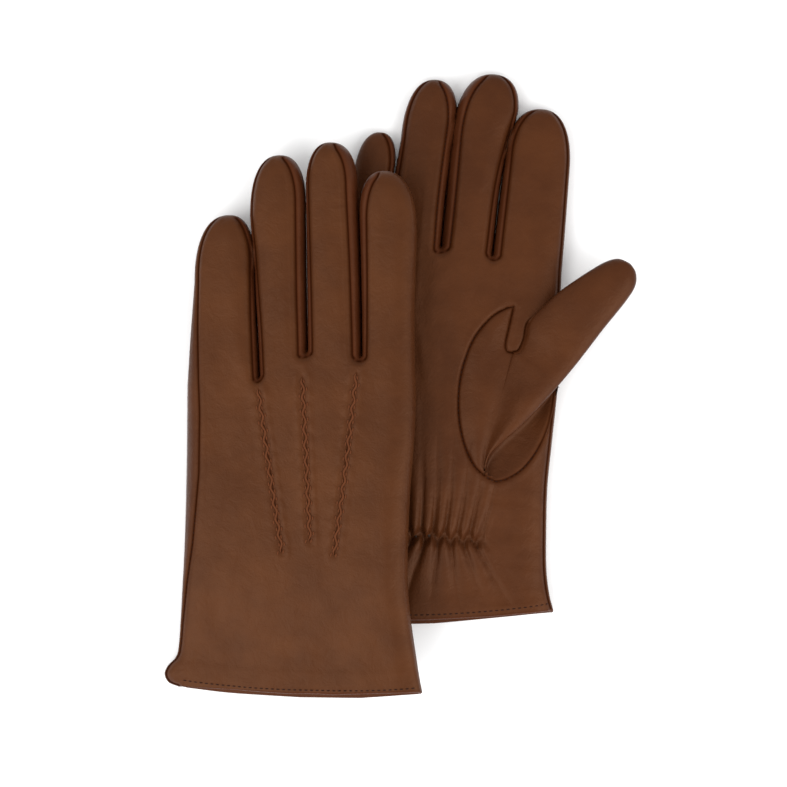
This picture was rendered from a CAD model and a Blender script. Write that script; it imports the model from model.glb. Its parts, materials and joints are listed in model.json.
import json
import math
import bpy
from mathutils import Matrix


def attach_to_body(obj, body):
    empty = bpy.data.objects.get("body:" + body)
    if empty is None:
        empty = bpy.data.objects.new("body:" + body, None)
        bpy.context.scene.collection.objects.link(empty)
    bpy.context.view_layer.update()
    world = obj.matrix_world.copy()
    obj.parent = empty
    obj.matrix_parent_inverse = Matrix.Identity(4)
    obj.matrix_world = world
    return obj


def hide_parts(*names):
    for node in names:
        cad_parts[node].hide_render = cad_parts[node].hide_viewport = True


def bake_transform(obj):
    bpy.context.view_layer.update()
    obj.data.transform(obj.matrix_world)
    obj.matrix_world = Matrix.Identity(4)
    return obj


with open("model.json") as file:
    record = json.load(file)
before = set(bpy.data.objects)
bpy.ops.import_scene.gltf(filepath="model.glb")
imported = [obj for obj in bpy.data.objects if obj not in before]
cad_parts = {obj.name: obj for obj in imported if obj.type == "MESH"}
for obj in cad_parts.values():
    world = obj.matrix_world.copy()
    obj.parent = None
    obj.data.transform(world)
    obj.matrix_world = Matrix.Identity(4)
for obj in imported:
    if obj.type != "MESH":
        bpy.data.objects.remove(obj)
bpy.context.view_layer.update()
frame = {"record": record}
from types import SimpleNamespace
import bpy
import numpy as np
from mathutils import Vector, noise

joints = {j["name"]: j for j in frame["record"]["behaviour"]["joints"]}


# ---- Camera, table and studio light ----
# A top view through a long lens, over a pale table that runs out of view.
# Two soft boxes, the stronger at the left and one low at the right, and an even white room.
VIEW_WIDTH = 0.3463
VIEW_MIDDLE = (-0.0024, -0.0040, 0.018)
LENS = 100.0
SENSOR = 36.0


def linked(name, data):
    """A new object for the data, placed in the scene."""
    made = bpy.data.objects.new(name, data)
    bpy.context.collection.objects.link(made)
    return made


camera = linked("camera", bpy.data.cameras.new("camera"))
camera.data.lens = LENS
camera.data.sensor_width = SENSOR
camera.location = Vector(VIEW_MIDDLE) + Vector((0, 0, VIEW_WIDTH * LENS / SENSOR))
bpy.context.scene.camera = camera
bpy.context.scene.view_settings.view_transform = "Standard"


def area_light(name, place, size, watts):
    lamp = bpy.data.lights.new(name, "AREA")
    lamp.size = size
    lamp.energy = watts
    lit = linked(name, lamp)
    lit.location = place
    lit.rotation_euler = (-Vector(place)).to_track_quat("-Z", "Y").to_euler()


area_light("key_box", (-0.75, -0.45, 0.9), 1.0, 10)
area_light("side_box", (0.75, -0.5, 0.8), 0.8, 8)

world = bpy.data.worlds.new("studio")
world.use_nodes = True
room = world.node_tree.nodes["Background"]
room.inputs["Color"].default_value = (1, 1, 1, 1)
room.inputs["Strength"].default_value = 0.95
bpy.context.scene.world = world


def linear(hex_colour):
    """An sRGB hex colour as linear RGBA."""
    parts = [int(hex_colour[i:i + 2], 16) / 255 for i in (1, 3, 5)]
    return tuple(c / 12.92 if c < 0.04045 else ((c + 0.055) / 1.055) ** 2.4 for c in parts) + (1,)


def wire(tree, made, settings=None, links=None):
    """Sets up a node. settings are attributes or input values, links are input: source socket."""
    for key, value in (settings or {}).items():
        if isinstance(key, str) and hasattr(made, key):
            setattr(made, key, value)
        else:
            made.inputs[key].default_value = value
    for key, source in (links or {}).items():
        tree.links.new(source, made.inputs[key])
    return made


def add_node(tree, kind, settings=None, links=None):
    return wire(tree, tree.nodes.new(kind), settings, links)


def relief(tree, source, strength, distance, under=None):
    """A bump of some strength and depth in m, over another one if there is one."""
    links = {"Height": source} | ({"Normal": under} if under else {})
    made = add_node(tree, "ShaderNodeBump", {"Strength": strength, "Distance": distance}, links)
    return made.outputs["Normal"]


def remap(tree, source, low, high, to_low=0.0, to_high=1.0):
    """A value stretched from the range low to high to another range."""
    ends = {"From Min": low, "From Max": high, "To Min": to_low, "To Max": to_high}
    return add_node(tree, "ShaderNodeMapRange", ends, {"Value": source}).outputs[0]


def new_material(name):
    made = bpy.data.materials.new(name)
    made.use_nodes = True
    shader = made.node_tree.nodes["Principled BSDF"]
    return made, made.node_tree, shader


table_mesh = bpy.data.meshes.new("table")
TABLE_TOP = -0.0004
table_corners = [(x, y, TABLE_TOP) for x, y in ((-3, -3), (3, -3), (3, 3), (-3, 3))]
table_mesh.from_pydata(table_corners, [], [(0, 1, 2, 3)])
table = linked("table", table_mesh)
pale_table, tree, shader = new_material("matte_white_card")
wire(tree, shader, {"Base Color": linear("#fbfbfb"), "Roughness": 0.9})
table_mesh.materials.append(pale_table)


# ---- Cut of the two gloves ----
# Each glove is nappa leather panels on a flat pattern: a hand with four fingers, drawn in the glove's
# own millimetres, X from little finger to index finger and Y from cuff to fingertips.
# Fingers are listed little, ring, middle, index: outer side, outer shoulder, tip, inner shoulder, inner side.
left = SimpleNamespace(
    name="left", palm_up=False, body="left_hand",
    origin=(-42.9, -138.4, 11.2), knuckle=148, stitch_row=3.9,
    low_side=[(-55.6, 2.4), (-60.2, 4.4), (-62.0, 8.2), (-60.4, 12.4), (-57.0, 16.0), (-55.4, 21),
              (-53.9, 38), (-52.3, 68), (-51.4, 100), (-51.0, 138)],
    high_side=[(54.6, 3.0), (52.2, 18), (49.0, 44), (48.6, 66), (49.6, 90), (51.6, 116),
               (52.2, 132), (51.8, 146)],
    crotches=[(-17.4, 141.8), (4.0, 153.0), (28.4, 151.0)],
    fingers=[
        ((-49.6, 160), (-47.7, 183), (-31.8, 213.5), (-19.9, 190), (-18.9, 164)),
        ((-19.2, 172), (-22.3, 213), (-8.9, 239.6), (2.9, 218), (3.3, 182)),
        ((3.6, 186), (2.9, 224), (13.8, 244.8), (26.2, 224), (27.6, 186)),
        ((27.9, 182), (26.9, 213), (37.5, 231.8), (52.6, 204), (51.7, 172)),
    ],
    points=[((-16.8, 136.5), (-6.2, 65)), ((3.0, 141.5), (6.4, 70)), ((27.2, 143.4), (17.2, 64))],
)
right = SimpleNamespace(
    name="right", palm_up=True, body="right_hand",
    origin=(30.0, -105.0, 0.0), knuckle=160, stitch_row=4.7,
    low_side=[(-77.0, -5.5), (-73, 15), (-69.5, 36), (-71, 60), (-73, 90), (-72, 120), (-69.5, 146)],
    high_side=[(38.4, 6.6), (35.9, 14), (33.6, 26), (32.0, 44), (30.9, 64), (31.3, 88), (31.5, 109),
               (30.2, 130), (28.9, 158)],
    crotches=[(-52.2, 149.2), (-25.7, 164.8), (-2.6, 163.3)],
    fingers=[
        ((-68.8, 168), (-67.4, 190), (-56.8, 213.5), (-49.2, 200), (-51.4, 172)),
        ((-50.6, 178), (-47.7, 211), (-34.2, 238.8), (-23.6, 221), (-25.4, 190)),
        ((-25.4, 190), (-25.3, 212), (-8.6, 243.4), (3.4, 228), (-1.4, 198)),
        ((-1.8, 184), (-0.9, 206), (14.2, 229.8), (28.5, 202), (28.8, 178)),
    ],
    points=[((-50.5, 145), (-41, 74)), ((-25.6, 159), (-27, 87)), ((-3, 158), (-12.5, 79))],
)
GLOVES = (left, right)
FINGERS = ("little", "ring", "middle", "index")
LEFT_TILT = math.radians(10.5)
RIGHT_TURN = math.radians(5)
HEIGHT = 13.0
FLAT_EDGE = 6.0
FREE = 30.0         # seam distance of leather away from any seam
ROW = 1.25          # spacing of mesh rows, mm
STRIP = np.array((0, 0.25, 0.55, 0.82, 1.0))
BETWEEN = np.r_[0, 0.03, 0.07, np.linspace(0.12, 0.88, 29), 0.93, 0.97, 1]
STRIP_N = len(STRIP) - 1
LANE_N = 2 * STRIP_N + len(BETWEEN) - 1
HAND_ROWS = 116
TIP_ROWS = 16
TIP_POWER = 2 / 2.35    # a fingertip is a little squarer than an ellipse
WEB_ROWS = 2
HEM_LIFT = {True: 3.1, False: 0.6}      # where the upper and lower leather turn in, above the cuff's edge
# Seam offsets in from the edge, in mm at base and tip: (outer side, inner side) of each finger.
# The sewn fingers have rolled a little, so one side shows more of its strip than the other.
SEAMS = {
    ("left", True): [((7.0, 1.6), (2.2, 1.7)), ((3.1, 1.3), (3.7, 3.8)), ((3.1, 1.5), (3.4, 4.6)),
                     ((3.0, 4.9), (3.0, 3.0))],
    ("left", False): [((3.5, 3.0), (3.4, 3.2)), *[((3.4, 3.2), (3.4, 3.2))] * 2, ((3.4, 3.2), (3.6, 3.2))],
    ("right", True): [((3.0, 2.5), (3.0, 2.4)), ((3.0, 1.6), (3.6, 4.3)), ((3.9, 5.2), (3.0, 1.9)),
                      ((3.6, 2.6), (1.5, 1.6))],
    ("right", False): [((5.0, 2.4), (3.2, 3.0)), *[((3.2, 3.0), (3.2, 3.0))] * 2, ((3.2, 3.0), (3.0, 3.0))],
}
# How far the long side seam lies in from the little-finger edge, from cuff to knuckles
SIDE_SEAM = ([0, 0.25, 0.38, 0.5, 0.72, 0.9, 1.0], [1.3, 2.0, 3.4, 5.4, 7.7, 7.7, 7.0])


def ease(t):
    t = np.clip(t, 0, 1)
    return t * t * (3 - 2 * t)


def bump(distance, width):
    """1 at no distance, and falling away over about the width."""
    return np.exp(-(distance / width) ** 2)


def pillow(t, power):
    """From 0 to 1, rising steeply at first like the side of a pillow."""
    return (1 - (1 - t) ** power) ** (1 / power)


def resample(line, count):
    """The same line as count + 1 points evenly spaced along it."""
    run = np.r_[0, np.cumsum(np.linalg.norm(np.diff(line, axis=0), axis=1))]
    at = np.linspace(0, run[-1], count + 1)
    return np.stack([np.interp(at, run, line[:, k]) for k in range(line.shape[1])], axis=1)


def flow(points, count):
    """A smooth curve through the points, as count + 1 samples evenly spaced along it."""
    p = np.array(points, float)
    p = np.vstack([2 * p[0] - p[1], p, 2 * p[-1] - p[-2]])
    dense = []
    for a, b, c, d in zip(p, p[1:], p[2:], p[3:]):
        t = np.linspace(0, 1, 24, endpoint=False)[:, None]
        dense.append(0.5 * (2 * b + (c - a) * t + (2 * a - 5 * b + 4 * c - d) * t**2
                            + (3 * b - a - 3 * c + d) * t**3))
    return resample(np.vstack(dense + [p[-2:-1]]), count)


def hem_y(glove, x):
    """Height of the cuff's edge over the width of the glove."""
    if glove.palm_up:
        return -1.0 + 0.155 * x + 0.0012 * x**2
    return 0.15 + 3.1 * np.abs((x - 5) / 58) ** 2.2


def finger_side(base, middle, shoulder, tip, count):
    """One side of a finger from its base to its tip, straight and then round."""
    straight = flow([base, middle, shoulder], count)
    turn = np.linspace(0, math.pi / 2, TIP_ROWS + 1)[1:]
    x = tip[0] + (shoulder[0] - tip[0]) * np.cos(turn) ** TIP_POWER
    y = shoulder[1] + (tip[1] - shoulder[1]) * np.sin(turn) ** TIP_POWER
    x[-1], y[-1] = tip
    return np.vstack([straight, np.stack([x, y], axis=1)])


def lane_row(a, b, off_a, off_b):
    """Points across one lane between its edges a and b, with the seams off_a and off_b mm in."""
    width = max(np.linalg.norm(b - a), 1e-6)
    sa, sb = min(off_a / width, 0.3), 1 - min(off_b / width, 0.3)
    s = np.r_[STRIP * sa, sa + BETWEEN[1:-1] * (sb - sa), 1 - (1 - sb) * STRIP[::-1]]
    return a + (b - a) * s[:, None]


def sheet_plan(glove, top):
    """Plan of one face of a glove: the hand's grid and one grid for each finger."""
    seams = SEAMS[glove.name, top]
    lines = [flow(glove.low_side, HAND_ROWS)]
    for k, ((start, stop), crotch) in enumerate(zip(glove.points, glove.crotches)):
        if top == glove.palm_up:
            x = glove.low_side[0][0] + (glove.high_side[0][0] - glove.low_side[0][0]) * (k + 1) / 4
            lines.append(flow([(x, float(hem_y(glove, x))), crotch], HAND_ROWS))
            continue
        x = stop[0] + (stop[0] - start[0]) * 0.15
        halfway = ((start[0] + stop[0]) / 2, (start[1] + stop[1]) / 2)
        lines.append(flow([(x, float(hem_y(glove, x))), stop, halfway, crotch], HAND_ROWS))
    lines.append(flow(glove.high_side, HAND_ROWS))
    side = np.interp(np.linspace(0, 1, HAND_ROWS + 1), *SIDE_SEAM)
    rows = []
    for j in range(HAND_ROWS + 1):
        near = ease(1 - (HAND_ROWS - j) / WEB_ROWS)
        across = []
        for lane in range(4):
            outer, inner = (2.0 + (seams[lane][k][0] - 2.0) * near for k in (0, 1))
            if lane == 0:
                outer = side[j] if top != glove.palm_up else seams[0][0][0]
            if lane == 3:
                inner = seams[3][1][0]
            row = lane_row(lines[lane][j], lines[lane + 1][j], outer, inner)
            across.append(row if lane == 0 else row[1:])
        rows.append(np.vstack(across))
    hand = np.array(rows)
    # The lower layer's edge shows just below the upper one at the cuff
    lift = 1.2 + (HEM_LIFT[top] - 1.2) * np.sin(np.linspace(0, math.pi, 4 * LANE_N + 1)) ** 0.3
    hand[..., 1] += lift * np.linspace(1, 0, HAND_ROWS + 1)[:, None] ** 6
    bases = [glove.low_side[-1]] + glove.crotches + [glove.high_side[-1]]
    fingers = []
    for lane, (mid_a, sh_a, tip, sh_b, mid_b) in enumerate(glove.fingers):
        count = round(((sh_a[1] + sh_b[1]) / 2 - bases[lane][1]) / ROW)
        a = finger_side(bases[lane], mid_a, sh_a, tip, count)
        b = finger_side(bases[lane + 1], mid_b, sh_b, tip, count)
        (oa, ob), (ia, ib) = seams[lane]
        grid = np.array([lane_row(p, q, oa + (ob - oa) * t, ia + (ib - ia) * t)
                         for p, q, t in zip(a, b, np.linspace(0, 1, len(a)))])
        grid[0] = hand[-1, lane * LANE_N:(lane + 1) * LANE_N + 1]
        fingers.append(grid)
    return hand, fingers


def nearest(xy, lines):
    """Distance of each point to the nearest of several open lines."""
    flat = xy.reshape(-1, 2)
    best = np.full(len(flat), 1e9)
    for line in lines:
        a, run = line[:-1], line[1:] - line[:-1]
        long2 = np.maximum((run**2).sum(1), 1e-9)
        for i in range(0, len(flat), 4000):
            part = flat[i:i + 4000, None, :] - a[None]
            t = np.clip((part * run[None]).sum(2) / long2, 0, 1)
            gap = np.linalg.norm(part - t[..., None] * run[None], axis=2).min(1)
            best[i:i + 4000] = np.minimum(best[i:i + 4000], gap)
    return best.reshape(xy.shape[:-1])


def inside(xy, loop):
    """Which points lie inside a closed loop."""
    x, y = xy[..., 0], xy[..., 1]
    hit = np.zeros(x.shape, bool)
    for (x0, y0), (x1, y1) in zip(loop, np.roll(loop, -1, axis=0)):
        if y0 != y1:
            hit ^= ((y0 > y) != (y1 > y)) & (x < (x1 - x0) * (y - y0) / (y1 - y0) + x0)
    return hit


def middles(grid):
    """Plan of the middle of each face of a grid."""
    return (grid[:-1, :-1, :2] + grid[1:, 1:, :2]) / 2


# Lines of the right thumb: its oval seam in the palm from the bottom round both sides, the tongue-shaped
# quirk cut into its top, the upper edge that runs out to the tip, and the fold that lies over the palm.
BOTTOM, QUIRK_END, TIP = (1.8, 65.2), (9.8, 120.3), (57.8, 163.9)
oval_left = flow([BOTTOM, (-3.2, 69.6), (-8.1, 78.6), (-11.2, 89), (-12.4, 101), (-11.4, 113), (-7.6, 125.4),
                  (-1.4, 134.6), (4.6, 139.3), (8.6, 140.8)], 90)
oval_right = flow([BOTTOM, (7.4, 63.0), (13.5, 65.3), (19.4, 70.3), (24.5, 78.6), (28.1, 89.1), (29.6, 101.4),
                   (29.0, 112), (25.6, 123), (20.4, 131.6)], 80)
quirk_left = flow([QUIRK_END, (7.4, 120.9), (6.4, 124.2), (7.3, 131.5), (8.6, 140.8)], 24)
thumb_upper = flow([QUIRK_END, (12.6, 121.4), (14.6, 127), (15.6, 134.2), (21.4, 141.9), (28.3, 149.3),
                    (34.5, 154.6), (40.7, 159.5), (47.0, 163.8), (52.4, 165.6), TIP], 56)
thumb_fold = flow([BOTTOM, (3.4, 74.0), (8.1, 80.3), (15.6, 88), (22.9, 96.8), (31, 107.5), (39.4, 119.7),
                   (48.3, 133.7), (57.6, 147.6), (60.9, 154.5), (60.6, 160), TIP], 100)
oval_loop = np.vstack([oval_left, [(15, 137.5)], oval_right[::-1]])
quirk_loop = np.vstack([quirk_left[::-1], thumb_upper[1:20], [(14, 145)]])
QUIRK_SEAMS = [quirk_left, thumb_upper[:14]]
LEFT_HOLE = (27.6, 102)     # middle of the hole for the left thumb, hidden in its palm
THUMB_SEAMS = [oval_left, oval_right] + QUIRK_SEAMS

for glove in GLOVES:
    glove.plan = {top: sheet_plan(glove, top) for top in (True, False)}
    hand, fingers = glove.plan[True]
    glove.outer_edges = [hand[:, 0], hand[:, -1], fingers[0][:, 0], fingers[3][:, -1]]
    glove.inner_edges = [fingers[k][:, 0] for k in (1, 2, 3)] + [fingers[k][:, -1] for k in (0, 1, 2)]
    glove.seams = {}
    for top in (True, False):
        hand, fingers = glove.plan[top]
        back_face = top != glove.palm_up
        lines = [hand[:, STRIP_N] if back_face else hand[:, -1 - STRIP_N]]
        for lane, grid in enumerate(fingers):
            if lane > 0 or back_face:
                lines.append(grid[:-4, STRIP_N])
            if lane < 3 or not back_face:
                lines.append(grid[:-4, -1 - STRIP_N])
        for k in (1, 2, 3):
            web = hand[-WEB_ROWS - 1:, k * LANE_N - STRIP_N:k * LANE_N + STRIP_N + 1]
            lines.append(flow([web[-1, 0], web[1, 0], web[0, STRIP_N], web[1, -1], web[-1, -1]], 24))
        glove.seams[top] = lines
    glove.point_lines = [flow([a, ((a[0] + b[0]) / 2, (a[1] + b[1]) / 2), b], 12) for a, b in glove.points]


# ---- Form of the lying gloves ----
# The empty gloves lie like soft flat pillows: round at their edges, hollow over each seam,
# with drag folds, the wrist's elastic gathers and the channel of each sewn point.
WRIST = 36          # where the elastic lies, above the cuff
GATHER = 5.3        # from fold to fold of its gathers
FAN_MIDDLE = -16.6  # X of the gather that hangs straight down
WAVE = 7.0          # length of one wave of a sewn point


def wobble(x, y, scale_x, scale_y, seed):
    """Smooth noise from -1 to 1 over the glove, with its grain lengths in mm."""
    flat = zip((np.ravel(x) / scale_x).tolist(), (np.ravel(y) / scale_y).tolist())
    return np.array([noise.noise(Vector((a, b, seed))) for a, b in flat]).reshape(np.shape(x))


def full_height(glove, x, y):
    """Height of the glove's upper face away from its edges."""
    if glove.palm_up:
        top = np.interp(x, (-78, -73, -35), (FLAT_EDGE - 0.5, FLAT_EDGE, HEIGHT))
        top = top * (1 - 0.2 * (1 - ease(y / 55)))
        return top * (1 - 0.1 * ease((y - 165) / 70))
    cuff = 4.8 * (1 - ease(y / 60))
    return HEIGHT - cuff - 1.6 * ease((y - 150) / 80)


def gathers(x, y):
    """Folds that the elastic makes across the right wrist: upright above its pinched line and fanning out
    below it, the lower ones standing between the upper ones like the teeth of a zip."""
    d = y - WRIST
    spread = np.where(d > 0, 1 + 0.008 * d, 1 - 0.042 * d)
    at = (x - FAN_MIDDLE) / spread + FAN_MIDDLE + 0.5 * np.sin(y / 11)
    span = ease((at + 78) / 10) * ease((6.5 - at) / 7)
    fade = np.exp(-np.abs(d / np.where(d > 0, 27, 19)) ** 1.6)
    ridge = 0
    for shift, way in ((0, 1), (0.5, -1)):
        phase = at / GATHER + shift
        wide = 0.52 * ease((way * d + 2.4) / 7.5) + 1e-4
        shape = np.clip(1 - (np.abs(phase - np.round(phase)) / wide) ** 2, 0, 1) ** 0.75
        ridge = np.maximum(ridge, shape * np.minimum(1, wide * 3.2))
    strength = 3.2 + 0.5 * np.sin(at / 4.3)
    return span * (fade * strength * (ridge - 0.62) - 0.8 * bump(d, 3.0))


def palm_folds(x, y):
    """Drag folds of the right palm: slanting beside the thumb, crosswise under it and short at the web."""
    beside = ease((y - 45) / 25) * ease((150 - y) / 20) * ease((-6 - x) / 8)
    web = ease((y - 128) / 12) * ease((166 - y) / 12)
    below = ease((62 - y) / 10) * ease((x - 2) / 6)
    return (beside * 0.55 * wobble(x * 0.93 + y * 0.22, y, 4.6, 30, 9.7)
            + web * 0.3 * wobble(x, y, 5, 9, 2.2) + below * 0.5 * wobble(y, x, 5.2, 26, 12.3))


def with_seam(xy, z, seam=FREE):
    """Plan points, their heights and their distance from a seam, as one grid."""
    seam = np.minimum(np.broadcast_to(seam, z.shape), FREE)
    return np.concatenate([xy, z[..., None], seam[..., None]], axis=-1)


def height(glove, top, xy, plain=False):
    """Height of the upper or lower face over plan points, in the glove's own mm, and the nearest seam.
    A plain face leaves out what only the leather does at its seams, hem and points."""
    x, y = xy[..., 0], xy[..., 1]
    finger = ease((y - glove.knuckle + 6) / 20)
    t = np.minimum(nearest(xy, glove.outer_edges) / (12.5 - 2 * finger),
                   nearest(xy, glove.inner_edges) / (6.5 + 4.2 * finger))
    t = np.clip(t, 0, 1)
    tall = full_height(glove, x, y)
    edge = np.minimum(5.6, tall * 0.45)
    seam = nearest(xy, glove.seams[top])
    point = nearest(xy, glove.point_lines)
    yh = y - hem_y(glove, x) - HEM_LIFT[top]
    on_back = top != glove.palm_up
    if not top:
        z = edge * (1 - pillow(t, 3.2))
        z += 0.12 * np.clip(wobble(x, y, 22, 30, 7.5), 0, 1) * t
        if not plain:
            z += 0.5 * bump(seam, 0.6) * t + 0.2 * bump(yh - 2.2, 0.7)
            if on_back:
                z += 0.5 * bump(point, 1.7)
        return np.maximum(z, 0.05), seam
    z = edge + (tall - edge) * pillow(t, 2.3)
    soft = ease(t * 1.3)
    if glove.palm_up:
        # The other glove presses on the little-finger half
        soft = soft * (0.15 + 0.85 * ease((x + 40) / 16))
        z -= 0.3 * ease((-24 - x) / 10)
    z += soft * (0.9 * wobble(x, y, 34, 52, 1.3) + 0.34 * wobble(x, y, 10, 19, 4.1))
    if not on_back:
        z += gathers(x, y) + soft * palm_folds(x, y)
    if plain:
        return z, seam
    groove = np.where(y < glove.knuckle, 0.62, 0.78)
    z -= groove * bump(seam, 0.55)
    z += 0.25 * bump(seam - 1.8, 0.95) * ease(t * 3)
    z += 0.3 * np.exp(-np.maximum(yh - 8.5, 0) / 1.2) - 0.45 * bump(yh - 1.1, 0.55)
    z -= 0.4 * np.exp(-np.maximum(yh, 0) / 0.4)
    if on_back:
        z -= 0.5 * bump(point, 1.25)
        z += 0.22 * bump(point - 2.9, 1.1) * (1 + 0.8 * np.sin(y * 2 * math.pi / WAVE))
        seam = np.minimum(seam, point + 0.25)
        for (cx, cy), lean in zip(glove.crotches, (-0.5, 0.1, 0.5)):
            u, v = x - cx, cy - y
            z += 0.35 * (bump(u + lean * v, 2.2) * ease(v / 3) * (1 - ease((v - 4) / 9)))
    else:
        ring = nearest(xy, THUMB_SEAMS)
        z += 0.3 * bump(ring - 1.9, 1.0) - 0.6 * bump(ring, 0.6)
        # Its cut edge turns down inside the oval, under the thumb's leather
        under = inside(xy, oval_loop) & ~inside(xy, quirk_loop)
        z -= 1.7 * ease(ring / 1.1) * under
        seam = np.minimum(seam, ring)
    return z, seam


def turned(glove, v):
    """A direction in a glove's own frame, in the frame of the pair."""
    x, y, z = v[..., 0], v[..., 1], v[..., 2]
    if glove.palm_up:
        c, s = math.cos(RIGHT_TURN), math.sin(RIGHT_TURN)
        return np.stack([x * c + y * s, y * c - x * s, z], axis=-1)
    c, s = math.cos(LEFT_TILT), math.sin(LEFT_TILT)
    return np.stack([x * c - z * s, y, x * s + z * c], axis=-1)


def placed(glove, p):
    """Points in a glove's own mm as metres in the frame of the pair."""
    return (turned(glove, p) + glove.origin) / 1000


def on_face(glove, top, xy, plain=False):
    return with_seam(xy, *height(glove, top, xy, plain))


for glove in GLOVES:
    glove.face = {}
    for plain in (False, True):
        for top in (True, False):
            hand, fingers = glove.plan[top]
            glove.face[top, plain] = [on_face(glove, top, g, plain) for g in [hand] + fingers]
        # Both faces meet at the outline and in the crotches
        upper, lower = glove.face[True, plain], glove.face[False, plain]
        for up, low in zip(upper, lower):
            low[:, 0], low[:, -1] = up[:, 0], up[:, -1]
        for k in (1, 2, 3):
            lower[0][-1, k * LANE_N] = upper[0][-1, k * LANE_N]
        for lane in range(4):
            for face in (upper, lower):
                face[lane + 1][0] = face[0][-1, lane * LANE_N:(lane + 1) * LANE_N + 1]
            lower[lane + 1][-1] = upper[lane + 1][-1]


# ---- Nappa leather, lining, thread and pad finishes ----
# Nappa is aniline-dyed lamb leather, drummed soft: a satin surface with a very fine pebble grain,
# slightly redder and darker where it is stretched into a seam, with faint cloudy dye variation.
def leather(name, colour, cloud_colour, seam_colour, roughness, seed):
    made, tree, shader = new_material(name)
    where = add_node(tree, "ShaderNodeTexCoord")
    skin = add_node(tree, "ShaderNodeMapping", {"Location": (seed, seed * 0.7, 0)},
                    {"Vector": where.outputs["Object"]})

    def texture(kind, **settings):
        return add_node(tree, "ShaderNodeTex" + kind, settings, {"Vector": skin.outputs[0]})

    clouds = texture("Noise", Scale=38, Detail=4, Roughness=0.6)
    spread = remap(tree, clouds.outputs["Fac"], 0.36, 0.66)
    dye = add_node(tree, "ShaderNodeMix", {"data_type": "RGBA", "A": linear(colour),
                                           "B": linear(cloud_colour)}, {"Factor": spread})
    seam = add_node(tree, "ShaderNodeAttribute", {"attribute_name": "seam_mm"})
    near = remap(tree, seam.outputs["Fac"], 0.15, 0.7, 0.8, 0.0)
    dyed = add_node(tree, "ShaderNodeMix", {"data_type": "RGBA", "B": linear(seam_colour)},
                    {"Factor": near, "A": dye.outputs["Result"]})
    # Pebble grain of about 0.8 mm with finer pores between, and the broader creases of a worn-in skin
    pebble = texture("Voronoi", Scale=1150)
    pores = texture("Noise", Scale=2100, Detail=3)
    creases = texture("Noise", Scale=160, Detail=5, Roughness=0.65, Distortion=0.6)
    grain = add_node(tree, "ShaderNodeMath", {"operation": "MULTIPLY_ADD", 1: 0.55},
                     {0: pebble.outputs["Distance"], 2: pores.outputs["Fac"]})
    fine = relief(tree, grain.outputs[0], 0.42, 0.00016)
    broad = relief(tree, creases.outputs["Fac"], 0.5, 0.0009, fine)
    sheen = remap(tree, creases.outputs["Fac"], 0, 1, roughness - 0.06, roughness + 0.1)
    # The raw edges drawn into a seam have no finish, so they do not shine
    finish = remap(tree, seam.outputs["Fac"], 0.2, 1.2, 0.0, 0.24)
    wire(tree, shader, {"IOR": 1.45, "Specular Tint": linear("#ffd0ae")},
         {"Base Color": dyed.outputs["Result"], "Normal": broad, "Roughness": sheen,
          "Specular IOR Level": finish})
    return made


back_nappa = leather("nappa_back", "#3f200e", "#492712", "#250d04", 0.4, 0.0)
palm_nappa = leather("nappa_palm", "#3c1d0c", "#462410", "#230c03", 0.41, 0.31)
strip_nappa = leather("nappa_skived_strips", "#401e0d", "#462210", "#250d04", 0.4, 0.57)
ridge_nappa = leather("nappa_pinched_ridge", "#5a3420", "#603924", "#583320", 0.4, 0.12)


def fibres(name, colour, second, scale, depth, fuzz):
    """Brushed or spun fibres: two close colours in a fine noise, matte, with a haze of loose fibre ends."""
    made, tree, shader = new_material(name)
    where = add_node(tree, "ShaderNodeTexCoord")
    strands = add_node(tree, "ShaderNodeTexNoise", {"Scale": scale, "Detail": 4, "Distortion": 1.2},
                       {"Vector": where.outputs["Object"]})
    mixed = add_node(tree, "ShaderNodeMix", {"data_type": "RGBA", "A": linear(colour), "B": linear(second)},
                     {"Factor": strands.outputs["Fac"]})
    shape = relief(tree, strands.outputs["Fac"], 0.6, depth)
    wire(tree, shader, {"Roughness": 0.85, "Sheen Weight": fuzz, "Specular IOR Level": 0.2},
         {"Base Color": mixed.outputs["Result"], "Normal": shape})
    return made


knit_lining = fibres("brushed_knit_lining", "#2a1e18", "#46362c", 900, 0.0006, 0.2)
thread = fibres("waxed_polyester_thread", "#1c0a04", "#2b1208", 2600, 0.0001, 0)
silver_knit = fibres("silver_yarn_knit", "#4e4e52", "#8a8a8e", 1500, 0.0003, 0.1)
flat_elastic = fibres("woven_flat_elastic", "#1d1613", "#3a2f29", 1300, 0.0004, 0.1)


# ---- Leather panels of both gloves ----
# Back, palm and finger panels and the narrow strips between the fingers are cut from 0.9 mm nappa.
# They are sewn face to face and turned, so each seam is a groove that both edges roll into.
LEATHER = 0.9
LINING = 0.8
MOVING = {("left", f): f"left_{f}_fold" for f in FINGERS}
MOVING.update({("right", "index"): "right_index_curl", ("right", "middle"): "right_middle_curl",
               ("right", "thumb"): "right_thumb_fold"})


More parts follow.
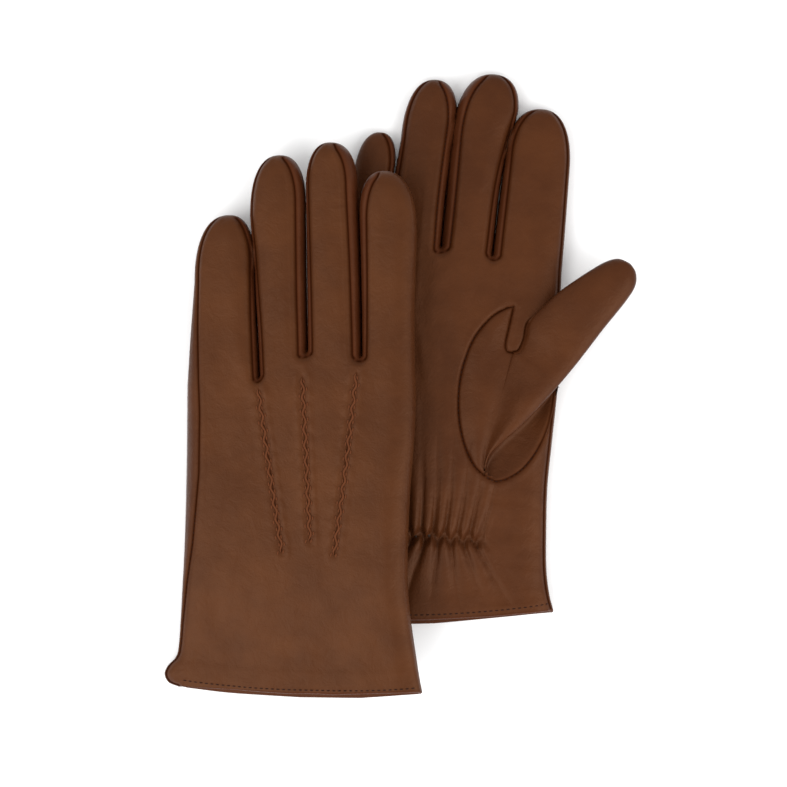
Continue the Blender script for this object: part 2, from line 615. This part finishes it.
class Skin:
    """Grids of points (x, y, z and seam distance, in a glove's own mm) welded into one surface.
    Every face carries the name of the piece it is cut into."""

    def __init__(self):
        self.points, self.quads, self.names, self.count = [], [], [], 0

    def add(self, grid, names, top=True):
        rows, columns = grid.shape[:2]
        index = self.count + np.arange(rows * columns).reshape(rows, columns)
        self.count += rows * columns
        corners = [index[:-1, :-1], index[:-1, 1:], index[1:, 1:], index[1:, :-1]]
        quads = np.stack(corners if top else corners[::-1], axis=-1).reshape(-1, 4)
        self.points.append(grid.reshape(-1, 4))
        self.quads.append(quads)
        self.names.append(np.broadcast_to(np.array(names, object), (rows - 1, columns - 1)).reshape(-1))
        return index

    def weld(self):
        points = np.vstack(self.points)
        keys = np.round(points[:, :3] * 500).astype(np.int64)
        _, first, self.where = np.unique(keys, axis=0, return_index=True, return_inverse=True)
        self.where = self.where.reshape(-1)
        self.points, self.quads = points[first], self.where[np.vstack(self.quads)]
        self.names = np.concatenate(self.names)
        p = self.points[:, :3]
        a, b, c, d = (p[self.quads[:, k]] for k in range(4))
        self.normals = np.zeros_like(p)
        for k in range(4):
            np.add.at(self.normals, self.quads[:, k], np.cross(c - a, d - b))
        self.normals /= np.maximum(np.linalg.norm(self.normals, axis=1), 1e-9)[:, None]
        return self

    def cut(self, glove, piece, name, material, inset=0.0, wall=LEATHER):
        """One piece with its thickness: an outer face inset mm in, an inner face and a rim between them."""
        quads = self.quads[self.names == piece]
        used, quads = np.unique(quads, return_inverse=True)
        quads = quads.reshape(-1, 4)
        count = len(used)
        p, n = self.points[used], self.normals[used]
        a, b = quads.reshape(-1), np.roll(quads, -1, axis=1).reshape(-1)
        free = ~np.isin(a * count + b, b * count + a) & (a != b)
        a, b = a[free], b[free]
        rim = np.stack([b, a, a + count, b + count], axis=1)
        faces = []
        for q in np.vstack([quads, quads[:, ::-1] + count, rim]).tolist():
            corners = [v for i, v in enumerate(q) if v != q[i - 1]]
            if len(corners) > 2 and len(set(corners)) == len(corners):
                faces.append(corners)
        both = np.vstack([p[:, :3] - n * inset, p[:, :3] - n * (inset + wall)])
        made = new_piece(name, placed(glove, both), faces, material)
        mark_seam(made, np.tile(p[:, 3], 2))
        made.data.normals_split_custom_set_from_vertices(turned(glove, np.vstack([n, -n])).tolist())
        return made


def mark_seam(made, distance):
    """Stores each point's distance from a seam, which the leather's colour follows."""
    seam = made.data.attributes.new("seam_mm", "FLOAT", "POINT")
    seam.data.foreach_set("value", distance.astype(np.float32))


def new_piece(name, points, faces, material):
    mesh = bpy.data.meshes.new(name)
    mesh.from_pydata(points.tolist(), [], faces)
    mesh.shade_smooth()
    mesh.materials.append(material)
    return linked(name, mesh)


def attach(made, glove, moving, slot, *nodes):
    """Rides the piece on its hand, or bends it from the hand into a finger, and names what it stands for."""
    joint = joints.get(MOVING.get((glove.name, moving)))
    if joint:
        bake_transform(made)
    else:
        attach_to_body(made, glove.body)
    if nodes:
        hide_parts(*nodes)


for glove in GLOVES:
    skin = Skin()
    glove.hand_index = {}
    for top in (True, False):
        kind = "back" if top != glove.palm_up else "palm"
        grids = glove.face[top, False]
        names = np.full((HAND_ROWS, 4 * LANE_N), f"{kind}_panel", object)
        names[:, :STRIP_N] = "palm_panel"
        names[:, -STRIP_N:] = "back_panel"
        for k in (1, 2, 3):
            names[-WEB_ROWS:, k * LANE_N - STRIP_N:k * LANE_N] = f"{FINGERS[k - 1]}_fourchette_inner"
            names[-WEB_ROWS:, k * LANE_N:k * LANE_N + STRIP_N] = f"{FINGERS[k]}_fourchette_outer"
        middle = middles(grids[0])
        if kind == "palm" and glove.palm_up:
            oval, quirk = inside(middle, oval_loop), inside(middle, quirk_loop)
            hollow = (middle[..., 0] < 22) | (middle[..., 1] < 100)
            names[oval & ~quirk & hollow & (nearest(middle, THUMB_SEAMS) > 1.3)] = ""
            names[oval & (quirk | (nearest(middle, QUIRK_SEAMS) < 1.3))] = "thumb_quirk"
        elif kind == "palm":
            names[((middle - LEFT_HOLE) ** 2 / (15.5**2, 33**2)).sum(2) < 1] = ""
        glove.hand_index[top] = skin.add(grids[0], names, top)
        for finger, grid in zip(FINGERS, grids[1:]):
            names = np.full((len(grid) - 1, LANE_N), f"{finger}_{kind}", object)
            names[:, :STRIP_N] = "little_palm" if finger == "little" else f"{finger}_fourchette_outer"
            names[:, -STRIP_N:] = "index_back" if finger == "index" else f"{finger}_fourchette_inner"
            skin.add(grid, names, top)
    glove.skin = skin.weld()
    for piece in sorted(set(skin.names) - {""}):
        kind = next((k for k in ("fourchette", "quirk", "back", "palm") if k in piece))
        material = {"back": back_nappa, "palm": palm_nappa, "quirk": palm_nappa}.get(kind, strip_nappa)
        slot = f"leather_{kind}" if kind in ("back", "palm") else "leather_strips"
        made = skin.cut(glove, piece, f"{glove.name}_{piece}_leather", material)
        attach(made, glove, piece.split("_")[0], slot, f"{glove.name}_{piece}")


# ---- Right thumb ----
# One folded pouch of nappa set into the oval hole of the palm. Its flap side is sewn to the palm and round
# the tongue-shaped quirk, the tube leans out over the index edge, and the fold makes a dark hollow below it.
BASE_ROWS, TUBE_ROWS, SPLIT_ROW = 44, 56, 12
ACROSS = 22
TUCKED = 0.8        # how far the thumb's edge reaches under the palm leather
FOLD_TOP = 16.8     # height of the fold over the palm
PALM_TOP = 12.6     # height of the palm beside it
u_round = 0.5 - 0.5 * np.cos(np.linspace(0, 1, ACROSS + 1) * math.pi)


def between(a, b):
    """Rows of points from line a to line b, closer together at both."""
    return a[:, None] + (b - a)[:, None] * u_round[None, :, None]


def grow_out(line, amount):
    """The oval's line a little further out, so that the thumb's edge tucks in under the palm leather."""
    middle = np.array((8.6, 102))
    away = line - middle
    return line + away / np.linalg.norm(away, axis=1)[:, None] * amount


fold_split = np.argmin(((thumb_fold - (31, 107.5)) ** 2).sum(1))
left_split = np.argmin(((oval_left - (-11.8, 110)) ** 2).sum(1))
outer_left = grow_out(oval_left, TUCKED)
valley = flow([BOTTOM, (1.3, 71), (2.2, 78), (4.2, 90), (6.6, 102), (8.4, 112), QUIRK_END], BASE_ROWS)
fold_base = resample(thumb_fold[:fold_split + 1], BASE_ROWS)
fold_tube = resample(thumb_fold[fold_split:], TUBE_ROWS)
left_base = resample(outer_left[:left_split + 1], BASE_ROWS)
left_upper = resample(outer_left[left_split:], 24)

v = np.linspace(0, 1, BASE_ROWS + 1)
w = np.linspace(0, 1, TUBE_ROWS + 1)
start_z = float(height(right, True, valley[:1], True)[0][0]) - 0.6
fold_z = {"base": start_z + (FOLD_TOP - start_z) * ease(v * 2.2) ** 0.8, "tube": FOLD_TOP + 0.6 * ease(w)}
near_z = {"base": height(right, True, valley, True)[0] + 1.2 * np.sin(math.pi * v) ** 0.8,
          "tube": 13.0 + 3.8 * ease((w - 0.16) / 0.5)}
crown = {"base": 4.6 * ease(v * 1.25), "tube": 4.6 + 0.4 * ease(w * 2)}
crown["tube"] = crown["tube"] * (1 - np.clip((w - 0.8) / 0.2, 0, 1) ** 2.6) ** (1 / 2.2)
fold_z["tube"] = fold_z["tube"] + (near_z["tube"][-1] - fold_z["tube"]) * ease((w - 0.8) / 0.2)


def pinned(rise_width, fall_width, soft):
    """Cross profile of the tube from its near edge to its fold."""
    hard = pillow(np.clip(u_round / rise_width, 0, 1), 2.3)
    rise = soft * ease(u_round / 0.75) + (1 - soft) * hard
    return rise * (1 - np.clip((u_round - 1 + fall_width) / fall_width, 0, 1) ** 2.3) ** (1 / 2.3)


def tube_sheet(part, near, fold, side):
    """Upper (side 1) or lower (side -1) sheet of the tube between its near edge and its fold."""
    xy = between(near, fold)
    rows = []
    for k in range(len(near)):
        far = k if part == "base" else k + BASE_ROWS
        soft = float(1 - ease((far - 0.5 * BASE_ROWS) / 44))
        line = near_z[part][k] + (fold_z[part][k] - near_z[part][k]) * u_round
        if side > 0:
            rows.append(line + crown[part][k] * pinned(0.5, 0.5, soft))
        else:
            rows.append(line - np.maximum(line - 13.7, 0) * pinned(0.4, 0.4, 0) * 0.97)
    z = np.array(rows)
    ring = nearest(xy, QUIRK_SEAMS)
    if side > 0:
        full = np.minimum(1, crown[part][:, None] / 4) * np.sin(math.pi * u_round)
        z += 0.35 * wobble(xy[..., 0], xy[..., 1], 9, 9, 5.5) * full
        z -= 0.6 * bump(ring, 0.6)
    return with_seam(xy, z, ring)


def drawn_in(xy, ring):
    """How deep the leather is drawn into the thumb's seam, and down where it tucks in outside the oval."""
    return 0.6 * bump(ring, 0.6) + 1.5 * ease(ring / 0.9) * ~inside(xy, oval_loop)


def flap_sheet(near, far, rise):
    """The flap between the oval seam and the valley or the quirk, swelling a little above the palm."""
    xy = between(near, far)
    palm, _ = height(right, True, xy, True)
    ring = nearest(xy, THUMB_SEAMS)
    width = np.linalg.norm(far - near, axis=1)
    swell = np.minimum(1, width / 12)[:, None] * np.sin(math.pi * u_round) ** 1.2
    z = palm + rise[:, None] * ease(u_round)
    z += swell * (1.5 + 0.3 * wobble(xy[..., 0], xy[..., 1], 6, 10, 3.3))
    return with_seam(xy, z - drawn_in(xy, ring), ring)


thumb_skin = Skin()
flap = flap_sheet(left_base, valley, 1.2 * np.sin(math.pi * v) ** 0.8)
tube_low = tube_sheet("base", valley, fold_base, 1)
tube_high = tube_sheet("tube", thumb_upper, fold_tube, 1)
tube_under = tube_sheet("tube", thumb_upper, fold_tube, -1)
quirk_side = resample(quirk_left, 24)
flap_top = flap_sheet(left_upper, quirk_side, np.zeros(25))
# The valley and the row where flap and tube part are shared
tube_low[:, 0] = flap[:, -1]
flap_top[0] = flap[-1]
tube_high[0] = tube_low[-1]
tube_high[1:6, 0, 2] = tube_high[0, 0, 2] + (tube_high[6, 0, 2] - tube_high[0, 0, 2]) * np.arange(1, 6) / 6
tube_under[:, 0], tube_under[:, -1] = tube_high[:, 0], tube_high[:, -1]
tube_under[-1] = tube_high[-1]
# The hollow: from the fold's edge down and in under it, then out to the oval seam
right_split = np.argmin(((oval_right - (30, 106.5)) ** 2).sum(1))
seam_side = resample(grow_out(oval_right[:right_split + 1], TUCKED), BASE_ROWS)
edge = tube_low[:, -1]
toward = seam_side - edge[:, :2]
wide = np.linalg.norm(toward, axis=1)
inward = -toward / np.maximum(wide, 1e-6)[:, None]
depth = np.minimum(1, wide / 9)
tuck = np.minimum(depth, np.linalg.norm(fold_base - valley, axis=1) / 8)
# Stations across it: 0 on the edge itself, 1 some mm in under the fold with z from the edge,
# 2 a share of the way to the seam with z above the table
stations = [
    (0, 0, None), (1, 0.9, -1.2), (1, 2.6, -2.6), (1, 3.0, -3.7), (1, 1.6, -4.9),
    (2, 0.1, 9.4), (2, 0.34, 9.6), (2, 0.6, 10.9), (2, 0.82, 12.3), (2, 1.0, 12.9),
]
columns = []
for kind, amount, z in stations:
    if kind == 0:
        columns.append(edge[:, :3])
    elif kind == 1:
        xy = edge[:, :2] + inward * amount * tuck[:, None]
        low = edge[:, 2] + z * depth * np.maximum(edge[:, 2] - PALM_TOP, 0) / 4.2
        columns.append(np.column_stack([xy, low]))
    else:
        xy = edge[:, :2] + toward * amount
        low = PALM_TOP + (z - PALM_TOP) * depth if amount < 0.9 else np.full(len(xy), z)
        columns.append(np.column_stack([xy, low]))
columns = np.stack(columns, axis=1)
hollow = np.array([flow(row, 30) if wide[k] > 0.01 else np.repeat(row[:1], 31, axis=0)
                   for k, row in enumerate(columns)])
ring = nearest(hollow[..., :2], [oval_right])
hollow[..., 2] -= drawn_in(hollow[..., :2], ring)
hollow[:, 0] = edge[:, :3]
hollow = with_seam(hollow[..., :2], hollow[..., 2], ring)
for grid in (flap, tube_low, flap_top, hollow):
    thumb_skin.add(grid, "thumb_base")
names = np.full((TUBE_ROWS, ACROSS), "thumb", object)
names[:SPLIT_ROW] = "thumb_base"
thumb_skin.add(tube_high, names)
thumb_skin.add(tube_under, names, False)
thumb_skin.weld()
# All its parts run together in the point at the bottom, which faces straight up
thumb_skin.normals[((thumb_skin.points[:, :2] - BOTTOM) ** 2).sum(1) < 1.8**2] = (0, 0, 1)
for piece, moving in (("thumb_base", None), ("thumb", "thumb")):
    made = thumb_skin.cut(right, piece, f"right_{piece}_leather", palm_nappa)
    attach(made, right, moving, "leather_palm", f"right_{piece}")
knit = Skin()
knit.add(tube_high[SPLIT_ROW + 6::2, ::2], "thumb_lining")
knit.add(tube_under[SPLIT_ROW + 6::2, ::2], "thumb_lining", False)
made = knit.weld().cut(right, "thumb_lining", "right_thumb_lining_knit", knit_lining, 1.0, LINING)
attach(made, right, "thumb", "lining", "right_thumb_lining")


# ---- Left thumb ----
# The same pouch pressed flat and folded in under the left palm, so it never shows from above.
def pouch_half(upper):
    """Upper or lower face of a flat round-ended pouch from the thumb's ball to its tip."""
    root, tip, r0, r1 = np.array((25.0, 101.0)), np.array((-21.0, 146.0)), 18.0, 10.3
    long = np.linalg.norm(tip - root)
    axis = (tip - root) / long
    across = np.array((axis[1], -axis[0]))
    turn = np.linspace(0, math.pi / 2, 13)
    s = np.r_[-r0 * np.cos(turn), np.linspace(0, long, 36)[1:-1], long + r1 * np.sin(turn)]
    wide = np.r_[r0 * np.sin(turn), np.interp(s[13:-13], (0, long), (r0, r1)), r1 * np.cos(turn)]
    phi = np.linspace(0, math.pi, 33)
    side = -np.sign(np.cos(phi)) * np.abs(np.cos(phi)) ** 0.7
    lift = np.sin(phi) ** 0.6 * (1 if upper else -1)
    xy = root + s[:, None, None] * axis + wide[:, None, None] * side[None, :, None] * across
    z = -2.55 + 2.3 * np.sqrt(1 - (1 - np.clip(wide / 5, 0, 1)) ** 2)[:, None] * lift[None, :]
    return with_seam(xy, z)


pouch = Skin()
for upper in (True, False):
    grid = pouch_half(upper)
    mouth = (((middles(grid) - (25, 101)) ** 2).sum(2) < 12.5**2) & upper
    pouch.add(grid, np.where(mouth, "", "thumb"), upper)
pouch.weld()
for name, material, slot, inset, wall in (("thumb", palm_nappa, "leather_palm", 0, LEATHER),
                                          ("thumb_lining", knit_lining, "lining", 1.0, 0.7)):
    made = pouch.cut(left, "thumb", f"left_{name}_pouch", material, inset, wall)
    attach(made, left, None, slot, f"left_{name}")


# ---- Knitted linings ----
# A brushed knit glove inside each leather one, seen only at the cuff, which it leaves free for the hem.
LINING_START = 8    # rows above the cuff's edge
LINING_DEPTH = 1.65     # under the leather's face
for glove in GLOVES:
    knit = Skin()
    for top in (True, False):
        grids = [g[::2 if len(g) % 2 else 1, ::2] for g in glove.face[top, True]]
        hand = grids[0][LINING_START // 2:]
        middle = middles(hand)
        names = np.full(middle.shape[:2], "hand_lining", object)
        if top == glove.palm_up:
            around = np.linspace(0, 2 * math.pi, 25)
            loop = oval_loop if glove.palm_up else np.array(LEFT_HOLE) + flow(
                [(15 * math.cos(a), 32 * math.sin(a)) for a in around], 40)
            names[inside(middle, loop)] = ""
        knit.add(hand, names, top)
        for finger, grid in zip(FINGERS, grids[1:]):
            own = (glove.name, finger) in MOVING
            knit.add(grid, f"{finger}_lining" if own else "hand_lining", top)
    knit.weld()
    for piece in sorted(set(knit.names) - {""}):
        made = knit.cut(glove, piece, f"{glove.name}_{piece}_knit", knit_lining, LINING_DEPTH, LINING)
        attach(made, glove, piece.split("_")[0], "lining", f"{glove.name}_{piece}")


# ---- Cuff hems ----
# The leather is turned in for 9 mm all round the cuff, over a rounded lip, and held by one row of stitches.
def ring_piece(name, rings, material, closed):
    """A piece through cross-section rings (rows of points in m). Closed means the last joins the first."""
    rows, around = rings.shape[:2]
    index = np.arange(rows * around).reshape(rows, around)
    ahead = np.roll(index, -1, axis=0) if closed else index[1:]
    behind = index if closed else index[:-1]
    quads = np.stack([behind, np.roll(behind, -1, axis=1), np.roll(ahead, -1, axis=1), ahead], axis=-1)
    faces = quads.reshape(-1, 4).tolist()
    if not closed:
        faces += [index[0, ::-1].tolist(), index[-1].tolist()]
    return new_piece(name, rings.reshape(-1, 3), faces, material)


HEM_ROWS = 7
LIP = 0.92
for glove in GLOVES:
    skin = glove.skin
    ids = np.hstack([skin.where[glove.hand_index[True][:HEM_ROWS + 1]],
                     skin.where[glove.hand_index[False][:HEM_ROWS + 1, -2:0:-1]]])
    p, n = skin.points[ids][..., :3], skin.normals[ids]
    out = p[0] - p[1]
    out -= n[0] * (out * n[0]).sum(1)[:, None]
    out /= np.linalg.norm(out, axis=1)[:, None]
    turn = np.linspace(0, math.pi, 8)
    lip = [p[0] - n[0] * LEATHER + LIP * (n[0] * math.cos(a) + out * math.sin(a)) for a in turn]
    inner = [p[r] - n[r] * 1.8 for r in range(1, HEM_ROWS + 1)]
    back = [p[r] - n[r] * 0.95 for r in range(HEM_ROWS, -1, -1)]
    rings = np.stack(lip + inner + back, axis=1)
    made = ring_piece(f"{glove.name}_cuff_hem_leather", placed(glove, rings), strip_nappa, True)
    mark_seam(made, np.full(len(made.data.vertices), FREE))
    attach(made, glove, None, "leather_strips", f"{glove.name}_cuff_hem")


# ---- Stitches ----
# Waxed thread in running stitches: the hem row of both cuffs and fine rows along the seams that show.
# A node tree sets one slim bead for each stitch along lines laid on the leather.
stitching = bpy.data.node_groups.new("running_stitch", "GeometryNodeTree")
for socket, kind in (("Geometry", "NodeSocketGeometry"), ("Spacing", "NodeSocketFloat"),
                     ("Length", "NodeSocketFloat"), ("Thickness", "NodeSocketFloat"),
                     ("Thread", "NodeSocketMaterial")):
    stitching.interface.new_socket(socket, in_out="INPUT", socket_type=kind)
stitching.interface.new_socket("Geometry", in_out="OUTPUT", socket_type="NodeSocketGeometry")
given = add_node(stitching, "NodeGroupInput")
curve = add_node(stitching, "GeometryNodeMeshToCurve", {}, {"Mesh": given.outputs["Geometry"]})
spaced = add_node(stitching, "GeometryNodeResampleCurve", {"mode": "LENGTH"},
                  {"Curve": curve.outputs[0], "Length": given.outputs["Spacing"]})
along = add_node(stitching, "GeometryNodeInputTangent")
aimed = add_node(stitching, "FunctionNodeAlignRotationToVector", {"axis": "Z"}, {"Vector": along.outputs[0]})
bead = add_node(stitching, "GeometryNodeMeshUVSphere", {"Segments": 8, "Rings": 5, "Radius": 0.5})
measure = add_node(stitching, "ShaderNodeCombineXYZ", {}, {
    "X": given.outputs["Thickness"], "Y": given.outputs["Thickness"], "Z": given.outputs["Length"]})
set_out = add_node(stitching, "GeometryNodeInstanceOnPoints", {}, {
    "Points": spaced.outputs[0], "Instance": bead.outputs["Mesh"], "Rotation": aimed.outputs[0],
    "Scale": measure.outputs[0]})
real = add_node(stitching, "GeometryNodeRealizeInstances", {}, {0: set_out.outputs[0]})
smooth = add_node(stitching, "GeometryNodeSetShadeSmooth", {}, {0: real.outputs[0]})
finished = add_node(stitching, "GeometryNodeSetMaterial", {}, {
    "Geometry": smooth.outputs[0], "Material": given.outputs["Thread"]})
add_node(stitching, "NodeGroupOutput", {}, {0: finished.outputs[0]})
SOCKETS = {item.name: item.identifier for item in stitching.interface.items_tree if item.in_out == "INPUT"}


def stitch_rows(name, glove, lines, spacing, length, thickness, material):
    """Stitches (sizes in mm) along lines of points in the glove's own mm."""
    points = placed(glove, np.vstack(lines))
    edges, start = [], 0
    for line in lines:
        edges += [(start + k, start + k + 1) for k in range(len(line) - 1)]
        start += len(line)
    base = bpy.data.meshes.new(name + "_lines")
    base.from_pydata(points.tolist(), edges, [])
    guide = linked(name + "_lines", base)
    modifier = guide.modifiers.new("stitches", "NODES")
    modifier.node_group = stitching
    for key, value in (("Spacing", spacing), ("Length", length), ("Thickness", thickness)):
        modifier[SOCKETS[key]] = value / 1000
    modifier[SOCKETS["Thread"]] = material
    evaluated = guide.evaluated_get(bpy.context.evaluated_depsgraph_get())
    mesh = bpy.data.meshes.new_from_object(evaluated)
    mesh.name = name
    made = linked(name, mesh)
    bpy.data.objects.remove(guide)
    bpy.data.meshes.remove(base)
    return made


def lifted(glove, top, xy, lift):
    """A plan line laid on the leather, lift mm above it."""
    z, _ = height(glove, top, xy)
    return np.column_stack([xy, z + lift])


for glove in GLOVES:
    x = np.linspace(glove.low_side[0][0] + 4, glove.high_side[0][0] - 3.5, 80)
    row = lifted(glove, True, np.column_stack([x, hem_y(glove, x) + glove.stitch_row]), 0.12)
    made = stitch_rows(f"{glove.name}_hem_stitches", glove, [row], 2.5, 1.5, 0.5, thread)
    attach(made, glove, None, "thread", f"{glove.name}_hem_thread")

fingers = right.plan[True][1]
SEAM_STITCHES = (    # name, glove, finger they move with, lines, lift, spacing, length, thickness
    ("right_ring", right, "ring", [fingers[1][2:-6, LANE_N - STRIP_N]], 0.02, 2.0, 1.2, 0.3),
    ("right_middle", right, "middle", [fingers[2][2:-6, STRIP_N]], 0.02, 2.0, 1.2, 0.3),
    ("right_thumb", right, None, [oval_left[2:-1], oval_right[2:46]], 0.1, 2.1, 1.2, 0.32),
    ("left_side", left, None, [left.plan[True][0][4:70, STRIP_N]], 0.05, 2.1, 1.2, 0.3),
)
for name, glove, finger, lines, lift, spacing, length, thickness in SEAM_STITCHES:
    rows = [lifted(glove, True, line, lift) for line in lines]
    made = stitch_rows(f"{name}_seam_stitches", glove, rows, spacing, length, thickness, thread)
    attach(made, glove, finger, "thread")


# ---- Sewn points on the backs ----
# Three pinched ridges of leather on each back, drawn into a wave by hand stitches that leave
# small loops of leather standing at alternating sides.
def ridge_rings(glove, line, top):
    """A low half-round ridge with a wavy middle line, tapering at both ends."""
    path = flow(line, 120)
    run = np.gradient(path, axis=0)
    run /= np.linalg.norm(run, axis=1)[:, None]
    across = np.column_stack([run[:, 1], -run[:, 0]])
    far = np.linspace(0, np.linalg.norm(path[-1] - path[0]), len(path))
    path = path + across * (0.62 * np.sin(far * 2 * math.pi / WAVE))[:, None]
    ends = np.minimum(1, np.minimum(far, far[::-1]) / 3 + 0.25)
    z, _ = height(glove, top, path)
    turn = np.linspace(0, 2 * math.pi, 11)[:-1]
    rise = 0.62 if top else 0.4
    out = []
    for a in turn:
        lift = rise * math.sin(a) * (1 if top else -1)
        xy = path + across * (0.58 * math.cos(a) * ends)[:, None]
        out.append(np.column_stack([xy, z + (0.15 if top else -0.05) + lift * ends]))
    return placed(glove, np.stack(out, axis=1)), path, across


for glove in GLOVES:
    top = not glove.palm_up
    parts, loops = [], []
    for k, (start, stop) in enumerate(glove.points):
        middle = ((start[0] + stop[0]) / 2 + 0.4 * (k - 1), (start[1] + stop[1]) / 2)
        rings, path, across = ridge_rings(glove, [start, middle, stop], top)
        parts.append(ring_piece("ridge", rings, ridge_nappa, False))
        if top:
            for side, first in ((1, 8), (-1, 3)):
                line = path[first:] + across[first:] * 1.15 * side
                loops.append(lifted(glove, top, line, 0.12))
    with bpy.context.temp_override(active_object=parts[0], selected_editable_objects=parts):
        bpy.ops.object.join()
    parts[0].name = f"{glove.name}_point_ridges"
    attach(parts[0], glove, None, "leather_points", f"{glove.name}_back_points")
    if loops:
        made = stitch_rows(f"{glove.name}_point_loops", glove, loops, 3.5, 2.0, 0.85, ridge_nappa)
        attach(made, glove, None, "leather_points")


# ---- Quirk of the left thumb, wrist elastics and touch pads ----
# What lies hidden under the leather: a small tongue at the left thumb, a flat elastic across each wrist
# between leather and lining, and silver-yarn pads that carry a touch through the tips of index and thumb.
def sheet_piece(name, glove, grid, top, depth, wall, material):
    """A thin sheet, depth mm under the face that the grid gives."""
    sheet = Skin()
    sheet.add(grid, "all", top)
    return sheet.weld().cut(glove, "all", name, material, depth, wall)


def level(plan, z):
    """Plan points all at one height."""
    return with_seam(plan, np.full(plan.shape[:2], z))


def disc(middle, radius):
    """Plan points of a disc, as rings round its middle."""
    r = np.linspace(0, radius, 8)[:, None]
    a = np.r_[np.linspace(0, 2 * math.pi, 33)[:-1], 0][None, :]
    return np.stack([middle[0] + r * np.cos(-a), middle[1] + r * np.sin(-a)], axis=-1)


for glove, (x0, x1), tip in ((left, (-6, 26), (40.5, 217.6)), (right, (-32, 1), (15.2, 214.8))):
    top = glove.palm_up
    band = np.meshgrid(np.linspace(x0, x1, 60), np.linspace(WRIST - 2.5, WRIST + 2.5, 7))
    grid = on_face(glove, top, np.stack(band, axis=-1), True)
    made = sheet_piece(f"{glove.name}_wrist_elastic_band", glove, grid, top, 1.0, 0.5, flat_elastic)
    attach(made, glove, None, "elastic", f"{glove.name}_wrist_elastic")
    grid = on_face(glove, top, disc(tip, 6.5), True)
    made = sheet_piece(f"{glove.name}_index_touch_pad_knit", glove, grid, top, 1.0, 0.5, silver_knit)
    attach(made, glove, "index", "touch_pad", f"{glove.name}_index_touch_pad")

for glove, moving, middle, z in ((right, "thumb", (49.0, 152.5), 20.6), (left, None, (-20.0, 145.0), -3.3)):
    grid = level(disc(middle, 5.5), z)
    made = sheet_piece(f"{glove.name}_thumb_touch_pad_knit", glove, grid, True, 0, 0.4, silver_knit)
    attach(made, glove, moving, "touch_pad", f"{glove.name}_thumb_touch_pad")

grid = np.stack(np.meshgrid(np.linspace(-1, 1, 13), np.linspace(0, 1, 15)), axis=-1)
wide = 4.5 * np.sqrt(np.clip(1 - (1 - np.clip(grid[..., 1] * 3, 0, 1)) ** 2, 0.02, 1))
tongue = np.stack([27.6 + grid[..., 0] * wide, 122.5 + grid[..., 1] * 13.5], axis=-1)
made = sheet_piece("left_thumb_quirk_leather", left, level(tongue, 0.1), False, 0, LEATHER, strip_nappa)
attach(made, left, None, "leather_strips", "left_thumb_quirk")
